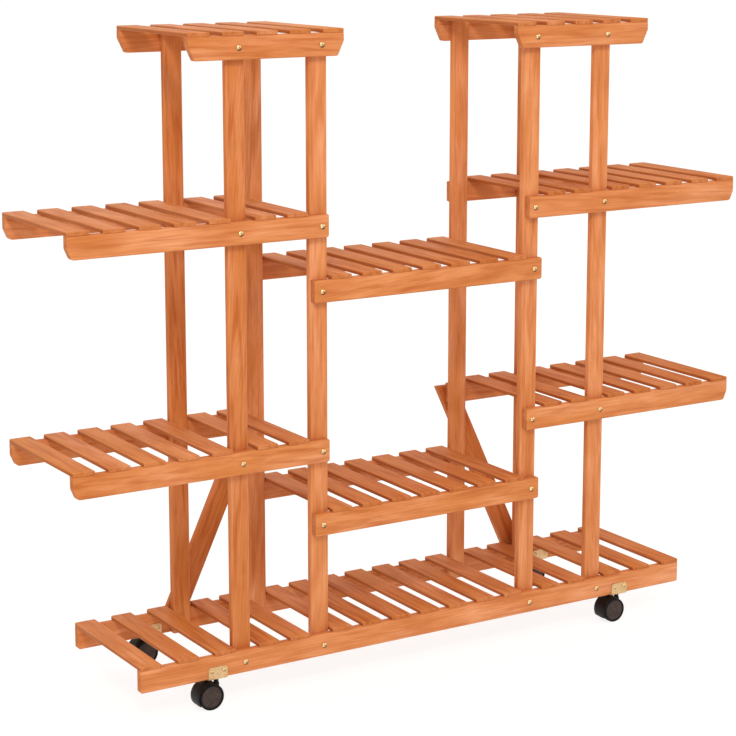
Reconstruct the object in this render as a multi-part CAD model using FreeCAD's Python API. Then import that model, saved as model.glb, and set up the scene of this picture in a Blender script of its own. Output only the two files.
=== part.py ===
import FreeCAD, Part
import math
import os

# Flower cart stand: nine slatted softwood shelves between four pairs of upright posts, on four
# twin-wheel swivel casters. Sizes are in millimetres. X runs to the right along the stand, Y from
# its front to its back and Z up. The origin is the centre of the footprint, on the floor.

# ---------------------------------------------------------------- stock sizes of the wood
post_width = 30.0
post_thickness = 12.0
rail_height = 34.0
rail_thickness = 12.0
slat_width = 34.0
slat_thickness = 6.0
brace_width = 34.0
brace_thickness = 12.0
eased_edge = 1.5
slat_easing = 1.2

# ---------------------------------------------------------------- layout of the stand
frame_depth = 232.6         # over the outer faces of the front and back rails
inner_post_x = 192.5        # centre of an inner post, from the middle of the stand
outer_post_x = 328.0        # centre of an outer post

base_overhang = 157.0       # rail beyond the outer post's outer face
side_overhang = 254.0
top_overhang = 65.0
top_inner_overhang = 22.1   # top rail beyond the inner post's inner face
side_inner_setback = 4.1    # side rail stops short of the inner post's inner face
centre_setback = 1.3        # centre rail stops short of the inner post's outer face
post_top_setback = 2.0      # posts stop below the top shelf's slats

# undersides of the rails above the undersides of the base rails
lower_centre_rise = 189.3
lower_side_rise = 303.3
upper_centre_rise = 545.7
upper_side_rise = 643.0
top_rise = 907.4

# slats in each bay
base_outer_slats = 3
side_outer_slats = 5
between_posts_slats = 2
centre_slats = 7
top_slats = 5
slat_to_post_gap = 1.2      # beside a post, for the slats that stand close to it

# end shapes of the rails
side_chamfer_length = 7.0
side_chamfer_height = 16.0
side_corner_radius = 6.0
top_chamfer_length = 10.5
top_chamfer_height = 22.0
top_corner_radius = 3.0
square_corner_radius = 3.5

# diagonal braces on the back
brace_top_offset = 3.3      # brace centre line inside the inner post's centre, at the upper screw
brace_foot_offset = 3.5     # brace centre line outside the outer post's centre, at the lower screw
brace_end_margin = 10.7     # level of each sawn end beyond its screw

# ---------------------------------------------------------------- screws and pins
screw_radius = 2.0
screw_head_radius = 4.2
screw_head_height = 2.7
screw_sides = 8             # flat faces round it
screw_bite = 9.6            # length of a screw inside the post
screw_height = rail_height / 2      # of a screw above the rail's underside

pin_side = 1.2
pin_length = 16.0
pin_cover = 0.6             # wood over a sunk pin

# ---------------------------------------------------------------- casters
wheel_radius = 20.0
wheel_width = 8.7
wheel_side_gap = 0.3
web_thickness = 9.4
trail = 13.5                # wheel axis behind the swivel axis
axle_radius = 2.0
axle_in_wheel = 6.5
axle_clearance = 0.05       # radial running clearance in web and wheels
hood_gap = 0.8
hood_wall = 1.8
hood_side_overhang = 0.3    # hood over the wheels' outer faces
hood_top_gap = 1.05         # hood below the saddle's plate
hood_from = 80.0            # degrees about the axle, from the swivel side over the top
hood_to = 212.0
axle_boss_radius = 7.0      # web under the axle
axle_boss_from = 253.0      # degrees about the axle
axle_boss_to = 270.0
neck_radius = 3.7           # of the hood's neck round the stem
neck_shoulder_drop = 3.0    # web beside the neck, below the wheels' tops
stem_radius = 2.4
stem_depth = 17.0           # stem inside the hood's socket
stem_clearance = 0.08
socket_floor = 1.5
neck_gap = 0.4              # saddle's plate above the hood's neck

# saddle brackets
saddle_sheet = 1.2
saddle_length = 31.5
saddle_cheek_height = 18.5
saddle_gap = 0.15           # between sheet and wood
saddle_bend_radius = 1.8    # outside radius of the folds
saddle_corner = 3.0
stem_hole_clearance = 0.1
saddle_hole_clearance = 0.1
saddle_screw_radius = 1.4
saddle_screw_head_radius = 2.8
saddle_screw_head_height = 1.5
saddle_screw_sides = 6
saddle_screw_bite = 4.0
saddle_screw_x = 10.0
saddle_screw_height = 12.0
saddle_to_post = 5.0        # least distance along the rail to the outer post
saddle_to_brace = 4.0       # and to the foot of the brace

# ---------------------------------------------------------------- margins for making the shapes
cut_margin = 1.0            # by which a cutting shape passes the surface that it cuts
closeness = 1e-6            # places nearer than this are the same

# ---------------------------------------------------------------- places worked out from these
hood_radius = wheel_radius + hood_gap + hood_wall
hood_top = wheel_radius + hood_radius
floor_clearance = hood_top + hood_top_gap + saddle_sheet + saddle_gap
twin_width = web_thickness + 2 * (wheel_side_gap + wheel_width)
hood_width = twin_width + 2 * hood_side_overhang
front_reach = max(hood_width / 2 - rail_thickness / 2, screw_head_height)
back_reach = brace_thickness + screw_head_height
front_face = -(frame_depth + back_reach - front_reach) / 2
back_face = front_face + frame_depth

outer_face_x = outer_post_x + post_width / 2
outer_post_inner_x = outer_post_x - post_width / 2
inner_post_outer_x = inner_post_x + post_width / 2
inner_face_x = inner_post_x - post_width / 2

base_end = outer_face_x + base_overhang
side_end = outer_face_x + side_overhang
side_start = inner_face_x + side_inner_setback
top_end = outer_face_x + top_overhang
top_start = inner_face_x - top_inner_overhang
centre_end = inner_post_outer_x - centre_setback

levels = {
    "base": floor_clearance,
    "lower_centre": floor_clearance + lower_centre_rise,
    "lower_side": floor_clearance + lower_side_rise,
    "upper_centre": floor_clearance + upper_centre_rise,
    "upper_side": floor_clearance + upper_side_rise,
    "top": floor_clearance + top_rise,
}
post_top = levels["top"] + rail_height - post_top_setback

brace_foot_x = outer_post_x + brace_foot_offset
brace_head_x = inner_post_x - brace_top_offset
brace_foot_z = levels["base"] + screw_height
brace_head_z = levels["lower_side"] + screw_height
brace_slope = (brace_foot_x - brace_head_x) / (brace_head_z - brace_foot_z)
brace_half_cut = brace_width / 2 * math.hypot(1, brace_slope)
brace_reach = brace_foot_x + brace_end_margin * brace_slope + brace_half_cut

saddle_start = max(outer_face_x + saddle_to_post, brace_reach + saddle_to_brace)
caster_x = saddle_start + saddle_length / 2
saddle_plate_top = floor_clearance - saddle_gap
saddle_screw_z = floor_clearance + saddle_screw_height
socket_mouth = saddle_plate_top - saddle_sheet - neck_gap

sides = {"left": -1, "right": 1}
post_places = {"outer": outer_post_x, "inner": inner_post_x}
X_AXIS = FreeCAD.Vector(1, 0, 0)
Y_AXIS = FreeCAD.Vector(0, 1, 0)
Z_AXIS = FreeCAD.Vector(0, 0, 1)
ORIGIN = FreeCAD.Vector(0, 0, 0)


# ---------------------------------------------------------------- shared shapes
def save(name, shape):
    shape.exportStep("parts/" + name + ".step")


def group(solids):
    return Part.Compound(solids)


def mirrored(shape):
    return shape.mirror(ORIGIN, X_AXIS)


def placed_on(side, shape):
    """The shape as drawn for the right half, or its mirror image for the left half."""
    return shape if side == "right" else mirrored(shape)


def polygon(points):
    """A closed wire through the points."""
    return Part.makePolygon(points + [points[0]])


def rounded_outline(corners):
    """A closed wire through (x, z, radius) corners, each rounded by its radius."""
    points = [FreeCAD.Vector(x, 0, z) for x, z, radius in corners]
    count = len(points)
    edges = []
    starts = []
    for i, (x, z, radius) in enumerate(corners):
        here = points[i]
        back = (points[i - 1] - here).normalize()
        ahead = (points[(i + 1) % count] - here).normalize()
        half_angle = back.getAngle(ahead) / 2
        if radius == 0:
            starts.append((here, here, None))
            continue
        reach = radius / math.tan(half_angle)
        middle = (back + ahead).normalize()
        centre = here + middle * (radius / math.sin(half_angle))
        nearest = centre - middle * radius
        starts.append((here + back * reach, here + ahead * reach, nearest))
    for i in range(count):
        first, last, nearest = starts[i]
        if nearest is not None:
            edges.append(Part.Arc(first, nearest, last).toShape())
        following = starts[(i + 1) % count][0]
        if last.distanceToPoint(following) > closeness:
            edges.append(Part.LineSegment(last, following).toShape())
    return Part.Wire(edges)


def board(corners, y_low, thickness):
    """A board of that outline in the XZ plane, from y_low backwards."""
    face = Part.Face(rounded_outline(corners))
    solid = face.extrude(Y_AXIS * thickness)
    solid.translate(FreeCAD.Vector(0, y_low, 0))
    return solid


def edges_along(solid, direction, z):
    """The solid's straight edges at height z that run in that direction."""
    found = []
    for edge in solid.Edges:
        first, last = edge.Vertexes[0].Point, edge.Vertexes[-1].Point
        level = max(abs(first.z - z), abs(last.z - z)) < closeness
        if level and (last - first).cross(direction).Length < closeness:
            found.append(edge)
    return found


def rod(radius, length, base, axis):
    return Part.makeCylinder(radius, length, base, axis)


# ---------------------------------------------------------------- posts
def post(x, y_low):
    """An upright with its four long edges eased."""
    height = post_top - floor_clearance
    corner = FreeCAD.Vector(x - post_width / 2, y_low, floor_clearance)
    solid = Part.makeBox(post_width, post_thickness, height, corner)
    uprights = [edge for edge in solid.Edges if abs(edge.Length - height) < closeness]
    return solid.makeChamfer(eased_edge, uprights)


# ---------------------------------------------------------------- rails
def square_rail_corners(start, end, z):
    """Square ends with the lower corners rounded; the upper ones lie under the slats."""
    r = square_corner_radius
    top = z + rail_height
    return [(start, z, r), (end, z, r), (end, top, 0), (start, top, 0)]


def side_rail_corners(z):
    """Inner end square, outer lower corner cut back and rounded."""
    r = square_corner_radius
    top = z + rail_height
    return [
        (side_start, z, r),
        (side_end - side_chamfer_length, z, side_corner_radius),
        (side_end, z + side_chamfer_height, side_corner_radius),
        (side_end, top, 0),
        (side_start, top, 0),
    ]


def top_rail_corners(z):
    """Both lower corners cut back at a slant."""
    top = z + rail_height
    return [
        (top_start + top_chamfer_length, z, top_corner_radius),
        (top_end - top_chamfer_length, z, top_corner_radius),
        (top_end, z + top_chamfer_height, top_corner_radius),
        (top_end, top, 0),
        (top_start, top, 0),
        (top_start, z + top_chamfer_height, top_corner_radius),
    ]


def eased_stock(length, height, thickness, eased_y):
    """Straight stock from the origin, with the two long edges of its face at eased_y eased."""
    stock = Part.makeBox(length, thickness, height)
    edges = [
        edge for z in (0, height)
        for edge in edges_along(stock, X_AXIS, z)
        if abs(edge.Vertexes[0].Y - eased_y) < closeness
    ]
    return stock.makeChamfer(eased_edge, edges)


def rail(corners, row):
    """A front or back rail: stock with eased outer edges, its ends cut to the outline."""
    start = min(x for x, z, radius in corners)
    end = max(x for x, z, radius in corners)
    low = min(z for x, z, radius in corners)
    y_low = front_face if row == "front" else back_face - rail_thickness
    eased_y = 0 if row == "front" else rail_thickness
    stock = eased_stock(end - start, rail_height, rail_thickness, eased_y)
    stock.translate(FreeCAD.Vector(start, y_low, low))
    return stock.common(board(corners, y_low, rail_thickness)).Solids[0]


# ---------------------------------------------------------------- slats
def slat(x_centre, z_low):
    """A slat from front face to back face, its two upper long edges eased."""
    low_x = x_centre - slat_width / 2
    high_x = x_centre + slat_width / 2
    top = z_low + slat_thickness
    corners = [
        (low_x, z_low, 0),
        (high_x, z_low, 0),
        (high_x, top - slat_easing, 0),
        (high_x - slat_easing, top, 0),
        (low_x + slat_easing, top, 0),
        (low_x, top - slat_easing, 0),
    ]
    return board(corners, front_face, frame_depth)


def spread(low, high, count):
    """Centres of slats whose outermost edges lie at low and high."""
    first = low + slat_width / 2
    step = (high - low - slat_width) / (count - 1)
    return [first + step * i for i in range(count)]


def shared_out(low, high, count):
    """Centres of slats that each take an equal share of the bay."""
    step = (high - low) / count
    return [low + step * (i + 0.5) for i in range(count)]


between_posts = shared_out(inner_post_outer_x, outer_post_inner_x, between_posts_slats)
beside_post = outer_face_x + slat_to_post_gap
side_centres = between_posts + spread(beside_post, side_end, side_outer_slats)
base_side_centres = between_posts + spread(beside_post, base_end, base_outer_slats)
middle_centres = spread(-inner_face_x + slat_to_post_gap, inner_face_x - slat_to_post_gap, centre_slats)
top_centres = spread(top_start, top_end, top_slats)
base_centres = [-x for x in base_side_centres] + middle_centres + base_side_centres

shelves = {
    "base": ("base", base_centres),
    "lower_centre": ("lower_centre", middle_centres),
    "upper_centre": ("upper_centre", middle_centres),
    "lower_left": ("lower_side", [-x for x in side_centres]),
    "lower_right": ("lower_side", side_centres),
    "upper_left": ("upper_side", [-x for x in side_centres]),
    "upper_right": ("upper_side", side_centres),
    "top_left": ("top", [-x for x in top_centres]),
    "top_right": ("top", top_centres),
}


def shelf_rail_corners(shelf, z):
    """The rail's outline, drawn for the right half where the shelf is on one side."""
    if shelf == "base":
        return square_rail_corners(-base_end, base_end, z)
    if shelf.endswith("centre"):
        return square_rail_corners(-centre_end, centre_end, z)
    if shelf.startswith("top"):
        return top_rail_corners(z)
    return side_rail_corners(z)


def shelf_posts(shelf):
    """X of the posts that a shelf's rails are screwed to."""
    left = [-outer_post_x, -inner_post_x]
    right = [inner_post_x, outer_post_x]
    if shelf == "base":
        return left + right
    if shelf.endswith("centre"):
        return [-inner_post_x, inner_post_x]
    return left if shelf.endswith("left") else right


# ---------------------------------------------------------------- braces
def brace():
    """The right-hand brace: eased stock on a slant, both ends sawn level."""
    foot = FreeCAD.Vector(brace_foot_x, back_face, brace_foot_z)
    head = FreeCAD.Vector(brace_head_x, back_face, brace_head_z)
    run = head - foot
    spare = 2 * brace_width
    stock = eased_stock(run.Length + 2 * spare, brace_width, brace_thickness, brace_thickness)
    stock.translate(FreeCAD.Vector(-spare, 0, -brace_width / 2))
    slant = math.degrees(math.atan2(run.z, run.x))
    stock.Placement = FreeCAD.Placement(foot, FreeCAD.Rotation(Y_AXIS * -1, slant)) * stock.Placement
    level_cut = Part.makeBox(
        2 * outer_post_x,
        brace_thickness,
        run.z + 2 * brace_end_margin,
        FreeCAD.Vector(0, back_face, foot.z - brace_end_margin),
    )
    return stock.common(level_cut).Solids[0]


# ---------------------------------------------------------------- screws
def prism(radius, sides, low, high):
    """An upright prism on a regular polygon, centred on the Z axis."""
    turn = 2 * math.pi / sides
    corners = [
        FreeCAD.Vector(radius * math.cos(turn * i), radius * math.sin(turn * i), low)
        for i in range(sides)
    ]
    return Part.Face(polygon(corners)).extrude(Z_AXIS * (high - low))


def screw(radius, head_radius, head_height, sides, shank, seat, inward):
    """A screw of few faces: its head stands on the seat point and its shank runs inward."""
    head = prism(head_radius, sides, 0, head_height)
    solid = head.fuse(prism(radius, sides, -shank, 0)).Solids[0]
    solid.Placement = FreeCAD.Placement(seat, FreeCAD.Rotation(Z_AXIS * -1, inward))
    return solid


def frame_screw(x, z, row, through):
    """A frame screw that passes through that much wood and bites into the post."""
    if row == "front":
        seat = FreeCAD.Vector(x, front_face, z)
        inward = Y_AXIS
    else:
        seat = FreeCAD.Vector(x, back_face + through - rail_thickness, z)
        inward = Y_AXIS * -1
    shank = through + screw_bite
    return screw(screw_radius, screw_head_radius, screw_head_height, screw_sides, shank, seat, inward)


# ---------------------------------------------------------------- slat pins
def slat_pins():
    """One sunk, headless pin through each end of each slat into the rail below."""
    pins = []
    for shelf, (level, centres) in shelves.items():
        top = levels[level] + rail_height + slat_thickness - pin_cover
        for x in centres:
            for y in (front_face + rail_thickness / 2, back_face - rail_thickness / 2):
                corner = FreeCAD.Vector(x - pin_side / 2, y - pin_side / 2, top - pin_length)
                pins.append(Part.makeBox(pin_side, pin_side, pin_length, corner))
    return pins


# ---------------------------------------------------------------- saddle brackets
def saddle(x, rail_middle):
    """A folded steel saddle round the base rail: a bottom plate and two cheeks."""
    inner = rail_thickness / 2 + saddle_gap
    outer = inner + saddle_sheet
    plate_low = saddle_plate_top - saddle_sheet
    cheek_top = floor_clearance + saddle_cheek_height
    start = x - saddle_length / 2
    corner = FreeCAD.Vector(start, rail_middle - outer, plate_low)
    blank = Part.makeBox(saddle_length, 2 * outer, cheek_top - plate_low, corner)
    blank = blank.makeFillet(saddle_bend_radius, edges_along(blank, X_AXIS, plate_low))
    blank = blank.makeChamfer(saddle_corner, edges_along(blank, Y_AXIS, cheek_top))
    rail_corner = FreeCAD.Vector(start - cut_margin, rail_middle - inner, saddle_plate_top)
    rail_space = Part.makeBox(saddle_length + 2 * cut_margin, 2 * inner, cheek_top, rail_corner)
    folded = blank.cut(rail_space)
    hole_low = FreeCAD.Vector(x, rail_middle, plate_low - cut_margin)
    stem_hole = rod(stem_radius + stem_hole_clearance, saddle_sheet + 2 * cut_margin, hole_low, Z_AXIS)
    folded = folded.cut(stem_hole)
    hole_radius = saddle_screw_radius + saddle_hole_clearance
    hole_reach = outer + cut_margin
    for dx in (-saddle_screw_x, saddle_screw_x):
        hole = prism(hole_radius, saddle_screw_sides, -hole_reach, hole_reach)
        hole.Placement = FreeCAD.Placement(
            FreeCAD.Vector(x + dx, rail_middle, saddle_screw_z), FreeCAD.Rotation(Z_AXIS, Y_AXIS)
        )
        folded = folded.cut(hole)
    return folded.Solids[0]


def saddle_screws(x, rail_middle):
    """Four small screws through a saddle's cheeks, two from each side."""
    cheek_face = rail_thickness / 2 + saddle_gap + saddle_sheet
    shank = saddle_sheet + saddle_gap + saddle_screw_bite
    screws = []
    for dx in (-saddle_screw_x, saddle_screw_x):
        for direction in (-1, 1):
            seat = FreeCAD.Vector(x + dx, rail_middle + direction * cheek_face, saddle_screw_z)
            screws.append(screw(
                saddle_screw_radius,
                saddle_screw_head_radius,
                saddle_screw_head_height,
                saddle_screw_sides,
                shank,
                seat,
                Y_AXIS * -direction,
            ))
    return screws


# ---------------------------------------------------------------- casters
def stem(x, y):
    """The kingpin: riveted flush in the saddle's plate, its lower end bearing in the socket."""
    low = socket_mouth - stem_depth
    return rod(stem_radius, saddle_plate_top - low, FreeCAD.Vector(x, y, low), Z_AXIS)


def about_axle(radius, angle, y=0):
    """A point at that radius and angle (degrees) about the wheel axis."""
    turn = math.radians(angle)
    return FreeCAD.Vector(radius * math.cos(turn), y, radius * math.sin(turn))


def arc_about_axle(radius, start, end, y):
    points = [about_axle(radius, angle, y) for angle in (start, (start + end) / 2, end)]
    return Part.Arc(*points).toShape()


def line(first, last):
    return Part.LineSegment(first, last).toShape()


def hood_roof():
    """The cover over both wheels, concentric with them."""
    y = -hood_width / 2
    inner = hood_radius - hood_wall
    outline = Part.Wire([
        arc_about_axle(hood_radius, hood_from, hood_to, y),
        line(about_axle(hood_radius, hood_to, y), about_axle(inner, hood_to, y)),
        arc_about_axle(inner, hood_to, hood_from, y),
        line(about_axle(inner, hood_from, y), about_axle(hood_radius, hood_from, y)),
    ])
    return Part.Face(outline).extrude(Y_AXIS * hood_width)


def hood_web(socket_low, shoulder):
    """The wall between the wheels: under the roof, round the axle and out to the stem's socket."""
    y = -web_thickness / 2
    reach = hood_radius - hood_wall / 2
    socket_foot = FreeCAD.Vector(trail, y, socket_low)
    socket_top = FreeCAD.Vector(trail, y, shoulder)
    dip = FreeCAD.Vector(trail - web_thickness / 2, y, shoulder)
    outline = Part.Wire([
        arc_about_axle(reach, hood_from, hood_to, y),
        line(about_axle(reach, hood_to, y), about_axle(axle_boss_radius, axle_boss_from, y)),
        arc_about_axle(axle_boss_radius, axle_boss_from, axle_boss_to, y),
        line(about_axle(axle_boss_radius, axle_boss_to, y), socket_foot),
        line(socket_foot, socket_top),
        line(socket_top, dip),
        line(dip, about_axle(reach, hood_from, y)),
    ])
    return Part.Face(outline).extrude(Y_AXIS * web_thickness)


def hood():
    """The swivelling housing, drawn about the wheel axis with the swivel axis at +trail in X."""
    neck_top = socket_mouth - wheel_radius
    socket_low = neck_top - stem_depth - socket_floor
    shoulder = wheel_radius - neck_shoulder_drop
    half_web = web_thickness / 2
    foot = FreeCAD.Vector(trail, 0, socket_low)
    socket_wall = rod(half_web, shoulder - socket_low, foot, Z_AXIS)
    neck = rod(neck_radius, neck_top - socket_low, foot, Z_AXIS)
    body = hood_roof().multiFuse([hood_web(socket_low, shoulder), socket_wall, neck])
    socket_foot = FreeCAD.Vector(trail, 0, neck_top - stem_depth)
    socket = rod(stem_radius + stem_clearance, stem_depth + cut_margin, socket_foot, Z_AXIS)
    bore_start = FreeCAD.Vector(0, -half_web - cut_margin, 0)
    axle_bore = rod(axle_radius + axle_clearance, web_thickness + 2 * cut_margin, bore_start, Y_AXIS)
    return body.cut(socket).cut(axle_bore).removeSplitter().Solids[0]


def axle():
    length = web_thickness + 2 * (wheel_side_gap + axle_in_wheel)
    return rod(axle_radius, length, FreeCAD.Vector(0, -length / 2, 0), Y_AXIS)


def wheel():
    """A wheel on the -Y side of the web, with a blind bore that the axle's end turns in."""
    inner = -(web_thickness / 2 + wheel_side_gap)
    outer = inner - wheel_width
    bore = axle_radius + axle_clearance
    bore_end = inner - axle_in_wheel - axle_clearance
    profile = [
        (0, bore_end),
        (bore, bore_end),
        (bore, inner),
        (wheel_radius, inner),
        (wheel_radius, outer),
        (0, outer),
    ]
    points = [FreeCAD.Vector(radius, y, 0) for radius, y in profile]
    return Part.Face(polygon(points)).revolve(ORIGIN, Y_AXIS, 360)


caster_rows = {
    "front": front_face + rail_thickness / 2,
    "back": back_face - rail_thickness / 2,
}


# ---------------------------------------------------------------- build the pieces
def build_posts():
    for side, sign in sides.items():
        for place, x in post_places.items():
            save("post_" + side + "_" + place + "_front", post(sign * x, front_face + rail_thickness))
            back_low = back_face - rail_thickness - post_thickness
            save("post_" + side + "_" + place + "_back", post(sign * x, back_low))


def build_shelves():
    for shelf, (level, centres) in shelves.items():
        z = levels[level]
        save("slats_" + shelf, group([slat(x, z + rail_height) for x in sorted(centres)]))
        for row in ("front", "back"):
            solid = rail(shelf_rail_corners(shelf, z), row)
            if shelf.endswith("left"):
                solid = mirrored(solid)
            save("rail_" + shelf + "_" + row, solid)


def build_braces():
    solid = brace()
    for side in sides:
        save("brace_" + side, placed_on(side, solid))


def brace_crosses(shelf, x):
    """Whether a brace lies over the crossing of that shelf's back rail and the post at x."""
    at_foot = shelf == "base" and abs(x) == outer_post_x
    at_head = shelf in ("lower_left", "lower_right") and abs(x) == inner_post_x
    return at_foot or at_head


def build_screws():
    screws = []
    for shelf, (level, centres) in shelves.items():
        z = levels[level] + screw_height
        for x in shelf_posts(shelf):
            screws.append(frame_screw(x, z, "front", rail_thickness))
            through = rail_thickness
            if brace_crosses(shelf, x):
                through += brace_thickness
            screws.append(frame_screw(x, z, "back", through))
    save("frame_screws", group(screws))
    save("slat_pins", group(slat_pins()))


def build_casters():
    saddles = []
    screws = []
    stems = []
    housing = hood()
    shaft = axle()
    front_wheel = wheel()
    back_wheel = front_wheel.mirror(ORIGIN, Y_AXIS)
    for row, y in caster_rows.items():
        outer, inner = (front_wheel, back_wheel) if row == "front" else (back_wheel, front_wheel)
        for side, sign in sides.items():
            x = sign * caster_x
            saddles.append(saddle(x, y))
            screws += saddle_screws(x, y)
            stems.append(stem(x, y))
            shift = FreeCAD.Vector(x - trail, y, wheel_radius)
            place = row + "_" + side
            save("caster_hood_" + place, housing.translated(shift))
            save("caster_axle_" + place, shaft.translated(shift))
            save("wheel_" + place + "_outer", outer.translated(shift))
            save("wheel_" + place + "_inner", inner.translated(shift))
    save("caster_saddles", group(saddles))
    save("saddle_screws", group(screws))
    save("caster_stems", group(stems))


os.makedirs("parts", exist_ok=True)
build_posts()
build_shelves()
build_braces()
build_screws()
build_casters()
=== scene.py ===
import math
import random

import bmesh
import bpy
from mathutils import Matrix, Vector


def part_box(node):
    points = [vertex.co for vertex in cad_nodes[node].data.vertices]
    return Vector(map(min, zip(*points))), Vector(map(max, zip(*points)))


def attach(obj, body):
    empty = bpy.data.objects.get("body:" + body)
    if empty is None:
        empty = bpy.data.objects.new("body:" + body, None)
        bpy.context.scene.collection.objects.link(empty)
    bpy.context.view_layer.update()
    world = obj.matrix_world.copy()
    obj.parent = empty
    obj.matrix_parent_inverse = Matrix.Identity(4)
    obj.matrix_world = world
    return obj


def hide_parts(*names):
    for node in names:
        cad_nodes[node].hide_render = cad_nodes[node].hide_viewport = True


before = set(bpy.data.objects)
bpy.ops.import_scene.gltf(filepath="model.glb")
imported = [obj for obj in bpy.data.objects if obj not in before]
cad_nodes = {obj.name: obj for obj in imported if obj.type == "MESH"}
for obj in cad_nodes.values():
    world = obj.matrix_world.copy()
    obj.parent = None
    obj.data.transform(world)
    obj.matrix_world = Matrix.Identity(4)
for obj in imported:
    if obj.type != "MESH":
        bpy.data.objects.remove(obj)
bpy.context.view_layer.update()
scene = bpy.context.scene


# ------------------------------------------------------------------ camera
# A long lens from the front left and a little above, turned down on the stand as in the photograph.
# The small shift keeps the uprights nearly parallel, as they are there.
camera_place = Vector((-1.727319, -2.732099, 1.153059))
camera_turn = math.radians(31.691)  # to the right of straight ahead
camera_tilt = math.radians(10.680)  # down
camera_shift = -0.08                # of the picture's height
photo_side = 736                    # pixels
focal_length = 2090.600             # pixels
sensor_width = 36.0                 # mm

camera_data = bpy.data.cameras.new("camera")
camera_data.sensor_width = sensor_width
camera_data.lens = focal_length * sensor_width / photo_side
camera_data.shift_y = camera_shift
camera = bpy.data.objects.new("camera", camera_data)
scene.collection.objects.link(camera)
camera.location = camera_place
camera.rotation_euler = (math.pi / 2 - camera_tilt, 0.0, -camera_turn)
scene.camera = camera


# ------------------------------------------------------------------ studio
# A matt white floor that glows like a light table and runs out of sight in a warm white room. A
# small strong lamp stands high on the left in front, and wide weak ones fill in from right and back.
floor_half = 60.0
floor_glow = 0.86               # makes the lit floor white without a second lamp
room_strength = 0.88
stand_middle = (0.0, 0.0, 0.5)


def linear(hex_colour):
    """An sRGB hex colour as linear RGBA."""
    channels = [int(hex_colour[i:i + 2], 16) / 255 for i in (1, 3, 5)]
    return [c / 12.92 if c <= 0.04045 else ((c + 0.055) / 1.055) ** 2.4 for c in channels] + [1.0]


def new_material(name):
    """An empty material for nodes."""
    material = bpy.data.materials.new(name)
    material.use_nodes = True
    material.node_tree.nodes.clear()
    return material


def add_node(material, kind, settings, inputs, stops=()):
    """Adds a node. An input that is given an output is linked to it, and any other value is set."""
    node = material.node_tree.nodes.new(kind)
    for name, value in settings.items():
        setattr(node, name, value)
    for key, value in inputs.items():
        if isinstance(value, bpy.types.NodeSocket):
            material.node_tree.links.new(value, node.inputs[key])
        else:
            node.inputs[key].default_value = value
    for i, (place, colour) in enumerate(stops):
        elements = node.color_ramp.elements
        element = elements[i] if i < len(elements) else elements.new(place)
        element.position = place
        element.color = colour
    return node


floor_shape = bmesh.new()
bmesh.ops.create_grid(floor_shape, x_segments=1, y_segments=1, size=floor_half)
floor_mesh = bpy.data.meshes.new("floor")
floor_shape.to_mesh(floor_mesh)
floor_shape.free()
floor = bpy.data.objects.new("floor", floor_mesh)
scene.collection.objects.link(floor)

floor_paint = new_material("white_studio_floor")
floor_shader = add_node(floor_paint, "ShaderNodeBsdfPrincipled", {}, {
    "Base Color": linear("#7C7C7C"),
    "Roughness": 0.9,
    "Specular IOR Level": 0.0,
    "Emission Color": linear("#FFFFFF"),
    "Emission Strength": floor_glow,
})
add_node(floor_paint, "ShaderNodeOutputMaterial", {}, {"Surface": floor_shader.outputs[0]})
floor_mesh.materials.append(floor_paint)

room = bpy.data.worlds.new("white_room")
room.use_nodes = True
room_light = room.node_tree.nodes["Background"]
room_light.inputs["Color"].default_value = linear("#FFF4E8")
room_light.inputs["Strength"].default_value = room_strength
scene.world = room
scene.view_settings.view_transform = "Standard"


def soft_lamp(name, place, aim, width, watts, hex_colour):
    """A square lamp of that width at a place, turned towards a point."""
    data = bpy.data.lights.new(name, "AREA")
    data.shape = "SQUARE"
    data.size = width
    data.energy = watts
    data.color = linear(hex_colour)[:3]
    lamp = bpy.data.objects.new(name, data)
    lamp.location = place
    lamp.rotation_euler = (Vector(aim) - Vector(place)).to_track_quat("-Z", "Y").to_euler()
    scene.collection.objects.link(lamp)


soft_lamp("main_lamp", (-1.9, -3.0, 3.3), stand_middle, 0.9, 64.0, "#FFF8EC")
soft_lamp("fill_lamp", (3.0, -1.8, 1.8), stand_middle, 2.4, 14.0, "#FFFFFF")
soft_lamp("back_lamp", (0.8, 3.2, 3.0), stand_middle, 2.4, 22.0, "#FFFFFF")


# ------------------------------------------------------------------ boards
# Posts, rails, slats and braces of planed fir. Each board is sawn to length, its edges are sanded
# round, and it is dipped in an orange-brown stain and rubbed down to a satin sheen.
board_edge = 0.0006             # radius of a sanded edge
same_place = 1e-6               # corners this near are one
flat_turn = math.radians(1)     # faces that turn by less than this are one
sharp_turn = math.radians(20)   # edges that turn by more than this are rounded
crease_turn = math.radians(32)  # edges that turn by more than this stay crisp in the light
log_reach = (0.018, 0.070)      # how far from the heart of its log a board was sawn
log_half = 40                   # half the length of wood that boards are taken from
log_slope = 0.05                # of the log's axis against the board's
end_share = 0.2                 # of a board's length, at each end, that gives its direction
facing = 0.8                    # a face looks along an axis past this cosine
end_stain = 0.4                 # how much more stain the sawn ends of a board take
side_stain_and_shade = 1.0                # and the sawn sides of a slat, darker partly from stain and partly as painted shade from the gaps between slats
board_looks = (                 # names that start so: depth of stain and yellowness, least and most
    ("post_left_outer", (0.60, 0.75), (0.3, 0.6)),
    ("post_right_inner_back", (0.0, 0.1), (0.0, 0.4)),
    ("rail_base_front", (0.0, 0.05), (0.0, 0.1)),
    ("post_", (0.0, 0.45), (0.0, 0.5)),
    ("rail_lower_left", (0.25, 0.5), (0.2, 0.6)),
    ("rail_", (0.0, 0.45), (0.0, 0.4)),
    ("slats_lower_left", (0.0, 0.55), (0.3, 0.9)),
    ("slats_upper_left", (0.0, 0.45), (0.3, 0.9)),
    ("slats_top", (0.0, 0.55), (0.3, 0.9)),
    ("slats_", (0.25, 1.0), (0.5, 1.0)),
    ("brace_", (0.8, 1.0), (0.2, 0.6)),
)
X, Y, Z = 0, 1, 2
wood = random.Random(12)


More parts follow.
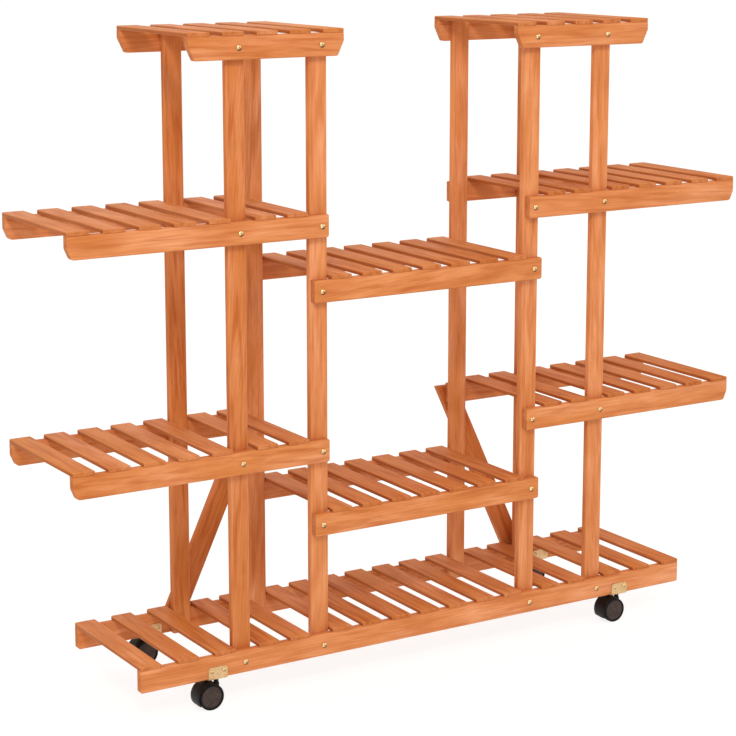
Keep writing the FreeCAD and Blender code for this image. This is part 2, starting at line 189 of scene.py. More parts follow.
def closed_copy(node_name):
    """The node's shape as closed solids, with every flat face in one piece."""
    shape = bmesh.new()
    shape.from_mesh(cad_nodes[node_name].data)
    bmesh.ops.remove_doubles(shape, verts=shape.verts, dist=same_place)
    bmesh.ops.dissolve_limit(shape, angle_limit=flat_turn, verts=shape.verts, edges=shape.edges)
    return shape


def round_edges(shape, width, segments):
    """Rounds every sharp edge of the shape, and returns the new faces."""
    edges = [edge for edge in shape.edges if edge.calc_face_angle(0.0) > sharp_turn]
    rounded = bmesh.ops.bevel(
        shape,
        geom=edges,
        offset=width,
        segments=segments,
        affect="EDGES",
        profile=0.5,
        material=-1,
        clamp_overlap=True,
    )
    return rounded["faces"]


def separate_solids(shape):
    """The shape's loose parts as lists of vertices, from left to right, front to back and up."""
    seen = set()
    solids = []
    for start in shape.verts:
        if start in seen:
            continue
        seen.add(start)
        solid = [start]
        for vertex in solid:
            for edge in vertex.link_edges:
                other = edge.other_vert(vertex)
                if other not in seen:
                    seen.add(other)
                    solid.append(other)
        solids.append(solid)
    solids.sort(key=lambda solid: [round(c, 3) for c in middle_of(solid)])
    return solids


def middle_of(vertices):
    """The mean of the vertices' places."""
    return sum((vertex.co for vertex in vertices), Vector()) / len(vertices)


def finish_piece(name, shape, body, node_name, material):
    """Makes the shape a piece that stands for the node and rides on the body."""
    mesh = bpy.data.meshes.new(name)
    shape.to_mesh(mesh)
    shape.free()
    for polygon in mesh.polygons:
        polygon.use_smooth = True
    mesh.set_sharp_from_angle(angle=crease_turn)
    mesh.materials.append(material)
    piece = bpy.data.objects.new(name, mesh)
    scene.collection.objects.link(piece)
    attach(piece, body)
    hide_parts(node_name)


def lay_grain(shape, length_axis, thin_axis, looks, worn_faces):
    """Gives each board its place in a log, its own stain and its sawn ends, for the material.

    Slats, whose thin axis is up, were ripped from wider stock after planing, so their sides are
    sawn too. Their sides are darkened partly as stain and partly as painted shade from the gaps.
    """
    depths, yellows = looks
    grain = shape.verts.layers.float_vector["grain"]
    tone = shape.verts.layers.float["tone"]
    yellow = shape.verts.layers.float["yellow"]
    sawn = shape.faces.layers.float["sawn_wood_and_side_shade"]
    worn = shape.faces.layers.float["worn_edge"]
    for face in worn_faces:
        face[worn] = 1.0
    shape.normal_update()
    for board in separate_solids(shape):
        low = min(vertex.co[length_axis] for vertex in board)
        high = max(vertex.co[length_axis] for vertex in board)
        reach = end_share * (high - low)
        start = middle_of([vertex for vertex in board if vertex.co[length_axis] < low + reach])
        end = middle_of([vertex for vertex in board if vertex.co[length_axis] > high - reach])
        along = (end - start).normalized()
        inward = Vector([float(axis == thin_axis) for axis in (X, Y, Z)])
        across = inward.cross(along)
        middle = (start + end) / 2
        turn = wood.uniform(0, 2 * math.pi)
        from_heart = wood.uniform(*log_reach)
        log_place = Vector((
            wood.uniform(-log_half, log_half),
            from_heart * math.cos(turn),
            from_heart * math.sin(turn),
        ))
        slope = Vector((0.0, wood.uniform(-log_slope, log_slope), wood.uniform(-log_slope, log_slope)))
        board_tone = wood.uniform(*depths)
        board_yellow = wood.uniform(*yellows)
        for vertex in board:
            offset = vertex.co - middle
            run = offset.dot(along)
            here = Vector((run, offset.dot(across), offset.dot(inward)))
            vertex[grain] = here + log_place + slope * run
            vertex[tone] = board_tone
            vertex[yellow] = board_yellow
            for face in vertex.link_faces:
                if abs(face.normal.dot(along)) > facing:
                    face[sawn] = end_stain
                # the slats' sides face into the gaps between slats: their darkening is partly stain,
                # partly painted shade
                elif thin_axis == Z and abs(face.normal.dot(across)) > facing:
                    face[sawn] = side_stain_and_shade


# Fir under an orange-brown stain, satin. The clear early wood takes the stain evenly, the hard late
# wood shows as thin darker lines, and where the stain ran it lies in long soft streaks and clouds.
ring_gap = 0.0046               # drawn wider than fir's 2 to 3 mm, so that it shows from the camera
ring_waver = 0.018              # how far the rings wander along a board
waver = (0.20, 0.045)           # length and width of their bends
fibre = (0.07, 0.0010)          # of the finest streaks, drawn wider than fibres, to show
streak = (0.10, 0.0075)         # of the stain's streaks and smudges
cloud = (0.11, 0.026)           # of its light and dark clouds
hue_patch = (0.16, 0.040)       # of its yellower and redder parts
knot_cell = (0.16, 0.075)       # a knot in each such stretch of the log
knot_size = 0.022               # of a knot, as a share of its cell
knot_rim = 1.4                  # of a knot's soft outer edge, as a multiple of its size
golden_most = 0.9               # strongest share of the golden stain
depth_most = 0.62               # of the deep stain
smudge_least = 0.55             # strength of smudges on the palest board
smudge_growth = 0.75            # and how much stronger on the deepest
sawn_and_side_shade_most = 0.6                  # of the dark stain in sawn wood, which on the slats' sides is also painted shade
rubbed_most = 0.22              # of the pale wood that sanded edges show
grain_depth = 0.0004            # of the ridges between fibres and rings


def stained_fir():
    fir = new_material("stained_fir")
    grain = add_node(fir, "ShaderNodeAttribute", {"attribute_name": "grain"}, {}).outputs["Vector"]
    tone = add_node(fir, "ShaderNodeAttribute", {"attribute_name": "tone"}, {}).outputs["Fac"]
    yellow = add_node(fir, "ShaderNodeAttribute", {"attribute_name": "yellow"}, {}).outputs["Fac"]
    sawn = add_node(fir, "ShaderNodeAttribute", {"attribute_name": "sawn_wood_and_side_shade"}, {}).outputs["Fac"]
    worn = add_node(fir, "ShaderNodeAttribute", {"attribute_name": "worn_edge"}, {}).outputs["Fac"]

    patterns = {}
    for name, size, detail in (
        ("waver", waver, 2.0),
        ("fibre", fibre, 3.0),
        ("streak", streak, 4.0),
        ("cloud", cloud, 3.0),
        ("hue", hue_patch, 3.0),
        ("knot", knot_cell, 0.0),
    ):
        length, width = size
        place = add_node(fir, "ShaderNodeMapping", {}, {
            "Vector": grain,
            "Scale": (1 / length, 1 / width, 1 / width),
        }).outputs[0]
        if name == "knot":
            cells = add_node(fir, "ShaderNodeTexVoronoi", {}, {"Vector": place, "Scale": 1.0})
            patterns[name] = cells.outputs["Distance"]
        else:
            noise = add_node(fir, "ShaderNodeTexNoise", {}, {
                "Vector": place, "Scale": 1.0, "Detail": detail,
            })
            patterns[name] = noise.outputs["Fac"]

    # distance from the heart of the log, with the rings' wander added, counted in rings
    section = add_node(fir, "ShaderNodeVectorMath", {"operation": "MULTIPLY"}, {
        0: grain, 1: (0.0, 1.0, 1.0),
    })
    radius = add_node(fir, "ShaderNodeVectorMath", {"operation": "LENGTH"}, {0: section.outputs[0]})
    wander = add_node(fir, "ShaderNodeMath", {"operation": "MULTIPLY_ADD"}, {
        0: patterns["waver"], 1: ring_waver, 2: radius.outputs["Value"],
    })
    count = add_node(fir, "ShaderNodeMath", {"operation": "DIVIDE"}, {0: wander.outputs[0], 1: ring_gap})
    ring = add_node(fir, "ShaderNodeMath", {"operation": "FRACT"}, {0: count.outputs[0]})
    late_wood = add_node(fir, "ShaderNodeValToRGB", {}, {"Fac": ring.outputs[0]}, stops=(
        (0.0, (0.02, 0.02, 0.02, 1)),
        (0.45, (0.05, 0.05, 0.05, 1)),
        (0.84, (0.20, 0.20, 0.20, 1)),
        (1.0, (0.02, 0.02, 0.02, 1)),
    ))

    clear = add_node(fir, "ShaderNodeValToRGB", {}, {"Fac": patterns["cloud"]}, stops=(
        (0.30, linear("#CA7D48")),
        (0.50, linear("#DD915E")),
        (0.68, linear("#EBA476")),
    ))
    streaks = add_node(fir, "ShaderNodeValToRGB", {}, {"Fac": patterns["streak"]}, stops=(
        (0.34, (0.70, 0.70, 0.70, 1)),
        (0.52, (0.0, 0.0, 0.0, 1)),
    ))
    strength = add_node(fir, "ShaderNodeMath", {"operation": "MULTIPLY_ADD"}, {
        0: tone, 1: smudge_growth, 2: smudge_least,
    })
    smudges = add_node(fir, "ShaderNodeMath", {"operation": "MULTIPLY", "use_clamp": True}, {
        0: streaks.outputs[0], 1: strength.outputs[0],
    })
    fibres = add_node(fir, "ShaderNodeValToRGB", {}, {"Fac": patterns["fibre"]}, stops=(
        (0.35, (0.24, 0.24, 0.24, 1)),
        (0.60, (0.0, 0.0, 0.0, 1)),
    ))
    knots = add_node(fir, "ShaderNodeValToRGB", {}, {"Fac": patterns["knot"]}, stops=(
        (knot_size, (0.80, 0.80, 0.80, 1)),
        (knot_size * knot_rim, (0.0, 0.0, 0.0, 1)),
    ))
    ends = add_node(fir, "ShaderNodeMath", {"operation": "MULTIPLY"}, {0: sawn, 1: sawn_and_side_shade_most})
    depth = add_node(fir, "ShaderNodeMath", {"operation": "MULTIPLY"}, {0: tone, 1: depth_most})
    hue = add_node(fir, "ShaderNodeMapRange", {}, {
        "Value": patterns["hue"], "From Min": 0.35, "From Max": 0.65, "To Min": 0.0, "To Max": golden_most,
    })
    golden = add_node(fir, "ShaderNodeMath", {"operation": "MULTIPLY"}, {0: yellow, 1: hue.outputs[0]})
    rubbed = add_node(fir, "ShaderNodeMath", {"operation": "MULTIPLY"}, {0: worn, 1: rubbed_most})

    # each stain over the ones before it, from the golden one to the knots
    colour = clear.outputs[0]
    for share, stain in (
        (golden.outputs[0], "#D68A40"),
        (depth.outputs[0], "#BD6A2D"),
        (smudges.outputs[0], "#AE5924"),
        (late_wood.outputs[0], "#A9552A"),
        (fibres.outputs[0], "#A85428"),
        # dark stain on sawn ends, and on the slats' sides also painted shade
        (ends.outputs[0], "#94491E"),
        (rubbed.outputs[0], "#EDA473"),
        (knots.outputs[0], "#6E3416"),
    ):
        layer = add_node(fir, "ShaderNodeMix", {"data_type": "RGBA"}, {
            0: share, 6: colour, 7: linear(stain),
        })
        colour = layer.outputs[2]

    sheen = add_node(fir, "ShaderNodeMapRange", {}, {
        "Value": patterns["fibre"], "To Min": 0.48, "To Max": 0.66,
    })
    relief = add_node(fir, "ShaderNodeMath", {"operation": "SUBTRACT"}, {
        0: patterns["fibre"], 1: late_wood.outputs[0],
    })
    bump = add_node(fir, "ShaderNodeBump", {"invert": True}, {
        "Strength": 0.30, "Distance": grain_depth, "Height": relief.outputs[0],
    })
    shader = add_node(fir, "ShaderNodeBsdfPrincipled", {}, {
        "Base Color": colour,
        "Roughness": sheen.outputs[0],
        "IOR": 1.5,
        "Specular IOR Level": 0.10,
        "Normal": bump.outputs[0],
    })
    add_node(fir, "ShaderNodeOutputMaterial", {}, {"Surface": shader.outputs[0]})
    return fir


fir = stained_fir()
for start, length_axis, thin_axis in (
    ("post_", Z, Y),
    ("rail_", X, Y),
    ("slats_", Y, Z),
    ("brace_", Z, Y),
):
    for node_name in sorted(name for name in cad_nodes if name.startswith(start)):
        boards = closed_copy(node_name)
        boards.verts.layers.float_vector.new("grain")
        for layer in ("tone", "yellow"):
            boards.verts.layers.float.new(layer)
        for layer in ("sawn_wood_and_side_shade", "worn_edge"):
            boards.faces.layers.float.new(layer)
        worn_faces = round_edges(boards, board_edge, segments=2)
        looks = next(looks for name, *looks in board_looks if node_name.startswith(name))
        lay_grain(boards, length_axis, thin_axis, looks, worn_faces)
        finish_piece("wood_" + node_name, boards, "root", node_name, fir)


# ------------------------------------------------------------------ frame screws
# Round-head wood screws with a cross recess, one at each crossing of a rail and a post. They are of
# steel, zinc-plated and passivated yellow, and driven by hand, so each stops at its own turn.
head_height = 0.0027
head_radius = 0.0042
shank_radius = 0.0018
recess_span = 0.0046            # across the arms of the cross
recess_arm = 0.0011             # width of an arm
recess_depth = 0.0014
recess_taper = 0.62             # of the cross at its foot
rim_share = 0.18                # of a head's height that stands upright at its rim
seat_share = 0.96               # of a head's radius that rests on the wood
straight_share = 0.7            # of a shank, above its taper
dome_steps = 8                  # from a head's rim to its middle
head_band = 0.2                 # of a screw's width, at its edge, where there is only head
hand = random.Random(5)


def spun(profile, axis, steps=32):
    """The solid that a line of points sweeps right round an axis through the origin."""
    shape = bmesh.new()
    points = [shape.verts.new(place) for place in profile]
    edges = [shape.edges.new(pair) for pair in zip(points, points[1:])]
    bmesh.ops.spin(
        shape,
        geom=points + edges,
        cent=(0, 0, 0),
        axis=axis,
        angle=2 * math.pi,
        steps=steps,
        use_merge=True,
    )
    bmesh.ops.remove_doubles(shape, verts=shape.verts, dist=same_place)
    bmesh.ops.recalc_face_normals(shape, faces=shape.faces)
    return shape


def combine(operation, shape, other):
    """The two closed shapes joined, or the second cut out of the first."""
    objects = []
    for part in (shape, other):
        mesh = bpy.data.meshes.new("part")
        part.to_mesh(mesh)
        part.free()
        objects.append(bpy.data.objects.new("part", mesh))
        scene.collection.objects.link(objects[-1])
    whole, tool = objects
    boolean = whole.modifiers.new("boolean", "BOOLEAN")
    boolean.operation = operation
    boolean.object = tool
    solid = bpy.data.meshes.new_from_object(whole.evaluated_get(bpy.context.evaluated_depsgraph_get()))
    result = bmesh.new()
    result.from_mesh(solid)
    bpy.data.meshes.remove(solid)
    for part in objects:
        mesh = part.data
        bpy.data.objects.remove(part)
        bpy.data.meshes.remove(mesh)
    return result


def cross_point(span, arm, low, high):
    """The tapered cross of a screwdriver's point, between two heights."""
    point = bmesh.new()
    bmesh.ops.create_grid(point, x_segments=3, y_segments=3, size=span / 2)
    for vertex in point.verts:
        for axis in (X, Y):
            if abs(vertex.co[axis]) < span / 4:
                vertex.co[axis] = math.copysign(arm / 2, vertex.co[axis])
    corners = [
        face for face in point.faces if min(map(abs, face.calc_center_median()[:2])) > arm / 2
    ]
    bmesh.ops.delete(point, geom=corners, context="FACES")
    bmesh.ops.translate(point, verts=point.verts, vec=(0, 0, high))
    sunk = bmesh.ops.extrude_face_region(point, geom=point.faces[:])
    foot = [part for part in sunk["geom"] if isinstance(part, bmesh.types.BMVert)]
    bmesh.ops.translate(point, verts=foot, vec=(0, 0, low - high))
    bmesh.ops.scale(point, verts=foot, vec=(recess_taper, recess_taper, 1.0))
    bmesh.ops.recalc_face_normals(point, faces=point.faces)
    return point


def round_head_screw(radius, height, shank, length, span, arm, depth):
    """A round-head screw as a mesh, head up, with the underside of its head at the origin."""
    rim = rim_share * height
    profile = []
    for i in range(dome_steps + 1):
        angle = math.pi / 2 * i / dome_steps
        profile.append((radius * math.sin(angle), 0, rim + (height - rim) * math.cos(angle)))
    profile += [
        (seat_share * radius, 0, 0),
        (shank, 0, 0),
        (shank, 0, -straight_share * length),
        (0, 0, -length),
    ]
    recess = cross_point(span, arm, height - depth, 2 * height)
    cut = combine("DIFFERENCE", spun(profile, (0, 0, 1)), recess)
    mesh = bpy.data.meshes.new("screw")
    cut.to_mesh(mesh)
    cut.free()
    return mesh


def driven_screws(node_name, radius, height, shank, span, arm, depth):
    """Such a screw in the place of each of the node's solids, each head at its own turn."""
    kinds = {}
    screws = bmesh.new()
    cad_screws = closed_copy(node_name)
    for solid in separate_solids(cad_screws):
        low = Vector([min(vertex.co[axis] for vertex in solid) for axis in (X, Y, Z)])
        high = Vector([max(vertex.co[axis] for vertex in solid) for axis in (X, Y, Z)])
        head_width = high[Z] - low[Z]
        head_rim = [vertex.co[Y] for vertex in solid if vertex.co[Z] > high[Z] - head_band * head_width]
        outward = math.copysign(1, min(head_rim) + max(head_rim) - low[Y] - high[Y])
        seat = (high[Y] - height) if outward > 0 else (low[Y] + height)
        length = round(high[Y] - low[Y] - height, 4)
        if length not in kinds:
            kinds[length] = round_head_screw(radius, height, shank, length, span, arm, depth)
        own_turn = Matrix.Rotation(hand.uniform(0, math.pi), 4, "Z")
        lie_down = Matrix.Rotation(math.copysign(math.pi / 2, -outward), 4, "X")
        place = Matrix.Translation(((low[X] + high[X]) / 2, seat, (low[Z] + high[Z]) / 2))
        first = len(screws.verts)
        screws.from_mesh(kinds[length])
        screws.verts.ensure_lookup_table()
        bmesh.ops.transform(screws, matrix=place @ lie_down @ own_turn, verts=screws.verts[first:])
    cad_screws.free()
    for mesh in kinds.values():
        bpy.data.meshes.remove(mesh)
    return screws


# Yellow-passivated zinc on steel: a pale straw gloss, a little uneven, duller where it was handled.
# Each head's lower right side is painted dark brown, as painted shade.
painted_shade_run = (0.50, 0.0, -0.86)  # the way that the painted shade lies on a head: down and to the right
painted_shade_edge = (0.02, 0.34)       # where on the turn of a head the painted shade begins, and where it is full
painted_shade_cover = 0.96              # of the metal under the full painted shade
zinc_blotch = 0.0035            # of the uneven patches in the plating


def yellow_zinc():
    zinc = new_material("yellow_passivated_zinc")
    coordinates = add_node(zinc, "ShaderNodeTexCoord", {}, {})
    blotches = add_node(zinc, "ShaderNodeTexNoise", {}, {
        "Vector": coordinates.outputs["Object"], "Scale": 1 / zinc_blotch, "Detail": 4.0,
    })
    colour = add_node(zinc, "ShaderNodeValToRGB", {}, {"Fac": blotches.outputs["Fac"]}, stops=(
        (0.30, linear("#D9B77C")),
        (0.52, linear("#EFD3A0")),
        (0.75, linear("#F8E6C2")),
    ))
    # painted shade: faces of a head that look down and to the right are darkened to dark brown
    lower_side = add_node(zinc, "ShaderNodeVectorMath", {"operation": "DOT_PRODUCT"}, {
        0: coordinates.outputs["Normal"], 1: painted_shade_run,
    })
    shade_begins, shade_full = painted_shade_edge
    painted_shade = add_node(zinc, "ShaderNodeMapRange", {}, {
        "Value": lower_side.outputs["Value"],
        "From Min": shade_begins,
        "From Max": shade_full,
        "To Min": 0.0,
        "To Max": painted_shade_cover,
    })
    shaded_heads = add_node(zinc, "ShaderNodeMix", {"data_type": "RGBA"}, {
        0: painted_shade.outputs[0], 6: colour.outputs[0], 7: linear("#3B2110"),
    })
    gloss = add_node(zinc, "ShaderNodeMapRange", {}, {
        "Value": blotches.outputs["Fac"], "To Min": 0.22, "To Max": 0.42,
    })
    shader = add_node(zinc, "ShaderNodeBsdfPrincipled", {}, {
        "Base Color": shaded_heads.outputs[2],
        "Metallic": 1.0,
        "Roughness": gloss.outputs[0],
    })
    add_node(zinc, "ShaderNodeOutputMaterial", {}, {"Surface": shader.outputs[0]})
    return zinc


zinc = yellow_zinc()
frame_screws = driven_screws(
    "frame_screws", head_radius, head_height, shank_radius, recess_span, recess_arm, recess_depth
)
finish_piece("frame_screw_set", frame_screws, "root", "frame_screws", zinc)


# ------------------------------------------------------------------ slat pins
# Headless square brads of drawn steel wire that hold the slats to the rails. They are wholly inside
# the wood, so they keep the shape that they have in the CAD model.
draw_line = 0.0002              # between the marks that the wire was drawn with


def drawn_steel():
    """Bright drawn steel: a grey gloss, broken by its faint draw lines."""
    steel = new_material("bright_drawn_steel")
    place = add_node(steel, "ShaderNodeTexCoord", {}, {}).outputs["Object"]
    lines = add_node(steel, "ShaderNodeTexNoise", {}, {
        "Vector": place, "Scale": 1 / draw_line, "Detail": 2.0,
    })
    colour = add_node(steel, "ShaderNodeValToRGB", {}, {"Fac": lines.outputs["Fac"]}, stops=(
        (0.30, linear("#B4B4B7")),
        (0.70, linear("#D6D6D8")),
    ))
    gloss = add_node(steel, "ShaderNodeMapRange", {}, {
        "Value": lines.outputs["Fac"], "To Min": 0.24, "To Max": 0.38,
    })
    shader = add_node(steel, "ShaderNodeBsdfPrincipled", {}, {
        "Base Color": colour.outputs[0],
        "Metallic": 1.0,
        "Roughness": gloss.outputs[0],
    })
    add_node(steel, "ShaderNodeOutputMaterial", {}, {"Surface": shader.outputs[0]})
    return steel


steel = drawn_steel()
cad_nodes["slat_pins"].material_slots[0].material = steel


# ------------------------------------------------------------------ caster saddles
# Channels of 1.2 mm steel sheet, cut, pierced and folded, that straddle the base rails and hold the
# stems. Zinc-plated and passivated pale yellow, with a satin face that shows the sheet's rolling.
sheet_edge = 0.00025            # burr rolled off the cut edges
rolling_line = (0.020, 0.0004)  # drawn wider than the real tenth of a millimetre, to show
rolling_depth = 0.0001
plating_stain = 0.006           # of the uneven patches in the plating


def rolled_zinc():
    plate = new_material("rolled_sheet_yellow_zinc")
    coordinates = add_node(plate, "ShaderNodeTexCoord", {}, {}).outputs["Object"]
    length, width = rolling_line
    along_sheet = add_node(plate, "ShaderNodeMapping", {}, {
        "Vector": coordinates, "Scale": (1 / length, 1 / width, 1 / width),
    })
    lines = add_node(plate, "ShaderNodeTexNoise", {}, {
        "Vector": along_sheet.outputs[0], "Scale": 1.0, "Detail": 2.0,
    })
    stains = add_node(plate, "ShaderNodeTexNoise", {}, {
        "Vector": coordinates, "Scale": 1 / plating_stain, "Detail": 3.0,
    })
    colour = add_node(plate, "ShaderNodeValToRGB", {}, {"Fac": stains.outputs["Fac"]}, stops=(
        (0.25, linear("#D0AA78")),
        (0.50, linear("#DAB888")),
        (0.75, linear("#E4C69A")),
    ))
    gloss = add_node(plate, "ShaderNodeMapRange", {}, {
        "Value": lines.outputs["Fac"], "To Min": 0.36, "To Max": 0.56,
    })
    bump = add_node(plate, "ShaderNodeBump", {}, {
        "Strength": 0.25, "Distance": rolling_depth, "Height": lines.outputs["Fac"],
    })
    shader = add_node(plate, "ShaderNodeBsdfPrincipled", {}, {
        "Base Color": colour.outputs[0],
        "Metallic": 1.0,
        "Roughness": gloss.outputs[0],
        "Normal": bump.outputs[0],
    })
    add_node(plate, "ShaderNodeOutputMaterial", {}, {"Surface": shader.outputs[0]})
    return plate


plate = rolled_zinc()
saddles = closed_copy("caster_saddles")
round_edges(saddles, sheet_edge, segments=2)
finish_piece("caster_saddle_set", saddles, "root", "caster_saddles", plate)


# ------------------------------------------------------------------ saddle screws
# Small round-head wood screws of the same yellow-passivated steel as the frame's. Two go through
# the holes in each cheek of a saddle, into the side of the rail.
small_head_height = 0.0015
small_head_radius = 0.0028
small_shank_radius = 0.0013
small_recess_span = 0.0030
small_recess_arm = 0.0007
small_recess_depth = 0.0009
saddle_screws = driven_screws(
    "saddle_screws",
    small_head_radius,
    small_head_height,
    small_shank_radius,
    small_recess_span,
    small_recess_arm,
    small_recess_depth,
)
finish_piece("saddle_screw_set", saddle_screws, "root", "saddle_screws", zinc)


# ------------------------------------------------------------------ caster stems
# Plain steel pins, pressed into the saddles' plates, that the casters turn on. Only a sliver of each
# shows between the plate and the caster's neck.
cad_nodes["caster_stems"].material_slots[0].material = steel


# ------------------------------------------------------------------ caster housings
# Injection-moulded black nylon: a curved roof over both wheels, a wall between them that carries the
# axle, and a neck that turns on the stem. Its edges are radiused, and its skin is finely spark-etched.
wheel_radius = 0.020
roof_gap = 0.0008               # between the wheels and the roof
roof_wall = 0.0018
roof_width = 0.028
roof_crown = 0.0005             # how much lower its rims are than its middle
roof_flat = 0.5                 # of its width that keeps its full height
roof_edge = 0.0006              # radius of its edges
roof_from, roof_to = 80, 212    # degrees about the axle, from the neck's side over the top
arc_step = 5.5                  # degrees
wall_width = 0.0094
boss_radius = 0.0070            # of the wall under the axle
boss_from, boss_to = 253, 270   # degrees about the axle
shoulder = 0.0170               # wall's top beside the neck, above the axle
trail = 0.0135                  # from the axle to the stem
neck_radius = 0.0037
neck_top = 0.02325              # above the axle
neck_flare = 0.0003             # how much thicker it is at its foot
flare_low = 0.0005              # the flare's lower and upper end, above the shoulder
flare_high = 0.0012
neck_bevel = 0.0005             # round its top
tower_bottom = 0.00425          # above the axle
tower_radius = 0.00465          # of the wall's rounded end round the stem
stem_bore = 0.00248             # radius of the stem's socket
socket_floor = 0.00625          # above the axle
socket_reach = 0.020            # from there to beyond the neck's top
axle_bore = 0.00205             # radius
axle_bore_length = 0.012        # to beyond both faces of the wall
weld_gap = 1e-5                 # corners this near are one, once the parts are joined
housing_flat = math.radians(0.5)  # and faces that turn by less than this
caster_bodies = [(row, side) for row in ("front", "back") for side in ("left", "right")]


def about_axle(radius, degrees):
    """A point at that distance and angle from the axle, in X and Z."""
    angle = math.radians(degrees)
    return Vector((radius * math.cos(angle), 0, radius * math.sin(angle)))


def housing_roof():
    """The curved cover, crowned across and rounded at its edges."""
    inner = wheel_radius + roof_gap
    outer = inner + roof_wall
    half = roof_width / 2
    roof = bmesh.new()
    section = [
        (inner, -half),
        (outer - roof_crown, -half),
        (outer, -roof_flat * half),
        (outer, roof_flat * half),
        (outer - roof_crown, half),
        (inner, half),
    ]
    corners = [about_axle(radius, roof_from) + Vector((0, y, 0)) for radius, y in section]
    roof.faces.new([roof.verts.new(corner) for corner in corners])
    bmesh.ops.spin(
        roof,
        geom=roof.verts[:] + roof.edges[:] + roof.faces[:],
        cent=(0, 0, 0),
        axis=(0, -1, 0),
        angle=math.radians(roof_to - roof_from),
        steps=round((roof_to - roof_from) / arc_step),
    )
    bmesh.ops.remove_doubles(roof, verts=roof.verts, dist=same_place)
    bmesh.ops.recalc_face_normals(roof, faces=roof.faces)
    round_edges(roof, roof_edge, segments=3)
    return roof


def housing_wall():
    """The wall between the wheels, from under the roof round the axle to the neck."""
    reach = wheel_radius + roof_gap + roof_wall / 2
    sweep = roof_to - roof_from
    steps = round(sweep / arc_step)
    outline = [about_axle(reach, roof_from + sweep * i / steps) for i in range(steps + 1)]
    outline += [
        about_axle(boss_radius, boss_from),
        about_axle(boss_radius, (boss_from + boss_to) / 2),
        about_axle(boss_radius, boss_to),
        Vector((trail, 0, tower_bottom)),
        Vector((trail, 0, shoulder)),
        Vector((trail - wall_width / 2, 0, shoulder)),
    ]
    wall = bmesh.new()
    face = wall.faces.new([wall.verts.new(point) for point in outline])
    bmesh.ops.translate(wall, verts=wall.verts, vec=(0, -wall_width / 2, 0))
    pulled = bmesh.ops.extrude_face_region(wall, geom=[face])
    far_side = [part for part in pulled["geom"] if isinstance(part, bmesh.types.BMVert)]
    bmesh.ops.translate(wall, verts=far_side, vec=(0, wall_width, 0))
    bmesh.ops.recalc_face_normals(wall, faces=wall.faces)
    return wall


def rod(radius, length, base, turn):
    """A plain rod from its base, turned from upright."""
    shape = spun([(0, 0, 0), (radius, 0, 0), (radius, 0, length), (0, 0, length)], (0, 0, 1))
    bmesh.ops.transform(shape, matrix=Matrix.Translation(base) @ turn, verts=shape.verts)
    return shape


def caster_housing():
    """A whole housing about its axle, with the neck on the right."""
    neck = spun([
        (0, 0, tower_bottom),
        (tower_radius, 0, tower_bottom),
        (tower_radius, 0, shoulder),
        (neck_radius + neck_flare, 0, shoulder + flare_low),
        (neck_radius, 0, shoulder + flare_high),
        (neck_radius, 0, neck_top - neck_bevel),
        (neck_radius - neck_bevel, 0, neck_top),
        (0, 0, neck_top),
    ], (0, 0, 1))
    bmesh.ops.translate(neck, verts=neck.verts, vec=(trail, 0, 0))
    housing = combine("UNION", combine("UNION", housing_roof(), housing_wall()), neck)
    socket = rod(stem_bore, socket_reach, (trail, 0, socket_floor), Matrix.Identity(4))
    across = Matrix.Rotation(math.pi / 2, 4, "X")
    bore = rod(axle_bore, axle_bore_length, (0, axle_bore_length / 2, 0), across)
    housing = combine("DIFFERENCE", combine("DIFFERENCE", housing, socket), bore)
    bmesh.ops.remove_doubles(housing, verts=housing.verts, dist=weld_gap)
    bmesh.ops.dissolve_limit(
        housing, angle_limit=housing_flat, verts=housing.verts, edges=housing.edges
    )
    mesh = bpy.data.meshes.new("housing")
    housing.to_mesh(mesh)
    housing.free()
    return mesh


def middle_of_node(node_name):
    """The middle of a node's box."""
    low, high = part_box(node_name)
    return (Vector(low) + Vector(high)) / 2


# Moulded nylon is near black and warm in the light. The mould's spark-etched skin breaks its gloss
# into a fine grain, and the melt's flow leaves faint clouds. Faces marked as rubbed are paler, as
# where a wheel's disc has picked up dust.
etching_grain = 0.0004          # drawn coarser than the real tenth of a millimetre, to show
etching_depth = 0.00012
flow_cloud = 0.009              # of the paler and darker clouds


def black_nylon(name, dark, pale, rubbed_dark, rubbed_pale):
    nylon = new_material(name)
    coordinates = add_node(nylon, "ShaderNodeTexCoord", {}, {}).outputs["Object"]
    rubbed = add_node(nylon, "ShaderNodeAttribute", {"attribute_name": "rubbed"}, {}).outputs["Fac"]
    etching = add_node(nylon, "ShaderNodeTexNoise", {}, {
        "Vector": coordinates, "Scale": 1 / etching_grain, "Detail": 2.0,
    })
    flow = add_node(nylon, "ShaderNodeTexNoise", {}, {
        "Vector": coordinates, "Scale": 1 / flow_cloud, "Detail": 3.0,
    })
    skin = add_node(nylon, "ShaderNodeValToRGB", {}, {"Fac": flow.outputs["Fac"]}, stops=(
        (0.35, linear(dark)),
        (0.65, linear(pale)),
    ))
    rubbed_skin = add_node(nylon, "ShaderNodeValToRGB", {}, {"Fac": flow.outputs["Fac"]}, stops=(
        (0.35, linear(rubbed_dark)),
        (0.65, linear(rubbed_pale)),
    ))
    colour = add_node(nylon, "ShaderNodeMix", {"data_type": "RGBA"}, {
        0: rubbed, 6: skin.outputs[0], 7: rubbed_skin.outputs[0],
    })
    gloss = add_node(nylon, "ShaderNodeMapRange", {}, {
        "Value": flow.outputs["Fac"], "To Min": 0.38, "To Max": 0.54,
    })
    bump = add_node(nylon, "ShaderNodeBump", {}, {
        "Strength": 0.20, "Distance": etching_depth, "Height": etching.outputs["Fac"],
    })
    shader = add_node(nylon, "ShaderNodeBsdfPrincipled", {}, {
        "Base Color": colour.outputs[2],
        "Roughness": gloss.outputs[0],
        "IOR": 1.53,
        "Specular IOR Level": 0.14,
        "Normal": bump.outputs[0],
    })
    add_node(nylon, "ShaderNodeOutputMaterial", {}, {"Surface": shader.outputs[0]})
    return nylon


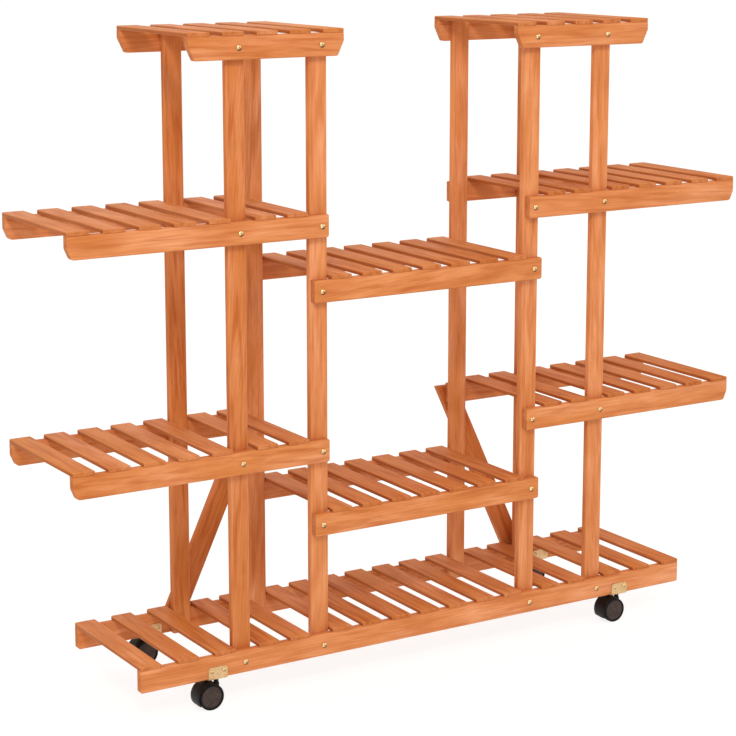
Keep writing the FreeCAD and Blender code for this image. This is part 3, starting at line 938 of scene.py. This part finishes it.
housing_nylon = black_nylon("etched_black_nylon", "#100B0B", "#1A1413", "#1A1413", "#241D1C")
housing_mesh = caster_housing()
for row, side in caster_bodies:
    housing = bmesh.new()
    housing.from_mesh(housing_mesh)
    place = middle_of_node(f"caster_axle_{row}_{side}")
    bmesh.ops.translate(housing, verts=housing.verts, vec=place)
    finish_piece(
        f"caster_housing_{row}_{side}",
        housing,
        f"swivel_{row}_{side}",
        f"caster_hood_{row}_{side}",
        housing_nylon,
    )
bpy.data.meshes.remove(housing_mesh)


# ------------------------------------------------------------------ caster axles
# A plain rod of drawn steel, 4 mm thick, through the bore in each housing's wall. Both wheels turn on
# its ends, so none of it shows, and it keeps the shape that it has in the CAD model.
for row, side in caster_bodies:
    cad_nodes[f"caster_axle_{row}_{side}"].material_slots[0].material = steel


# ------------------------------------------------------------------ caster wheels
# Moulded black nylon wheels, two to a caster: a rounded tread, a sunk and slightly domed disc with a
# moulded ring round its hub, and a blind bore for the axle. The discs have gone a dusty brown-grey.
wheel_profile = (               # mm from the axle, and outwards from the face by the wall
    (0.0, 6.55),
    (2.05, 6.55),
    (2.05, 0.0),
    (18.6, 0.0),
    (19.5, 0.35),
    (20.0, 1.2),
    (20.0, 7.3),
    (19.6, 8.25),
    (18.8, 8.7),
    (17.0, 8.7),
    (16.5, 8.4),
    (16.2, 7.75),
    (12.0, 8.1),
    (6.0, 8.35),
    (5.7, 8.1),
    (4.8, 8.1),
    (4.5, 8.4),
    (0.0, 8.6),
)
wheel_steps = 56                # round a wheel
disc_radius = 0.0163            # of the rubbed disc
disc_depth = 0.007              # it lies further out than this
wheel_nylon = black_nylon("rubbed_black_nylon", "#0B0808", "#130E0E", "#382E2A", "#463B36")

for row, side in caster_bodies:
    axle_middle = middle_of_node(f"caster_axle_{row}_{side}")
    for which in ("outer", "inner"):
        node_name = f"wheel_{row}_{side}_{which}"
        low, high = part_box(node_name)
        outward = math.copysign(1, (low[Y] + high[Y]) / 2 - axle_middle[Y])
        inner_face = low[Y] if outward > 0 else high[Y]
        profile = [(radius / 1000, outward * out / 1000, 0) for radius, out in wheel_profile]
        wheel = spun(profile, (0, 1, 0), steps=wheel_steps)
        rubbed = wheel.faces.layers.float.new("rubbed")
        for face in wheel.faces:
            middle = face.calc_center_median()
            if math.hypot(middle.x, middle.z) < disc_radius and outward * middle.y > disc_depth:
                face[rubbed] = 1.0
        bmesh.ops.translate(wheel, verts=wheel.verts, vec=(axle_middle.x, inner_face, axle_middle.z))
        finish_piece(
            "caster_" + node_name, wheel, node_name, node_name, wheel_nylon
        )
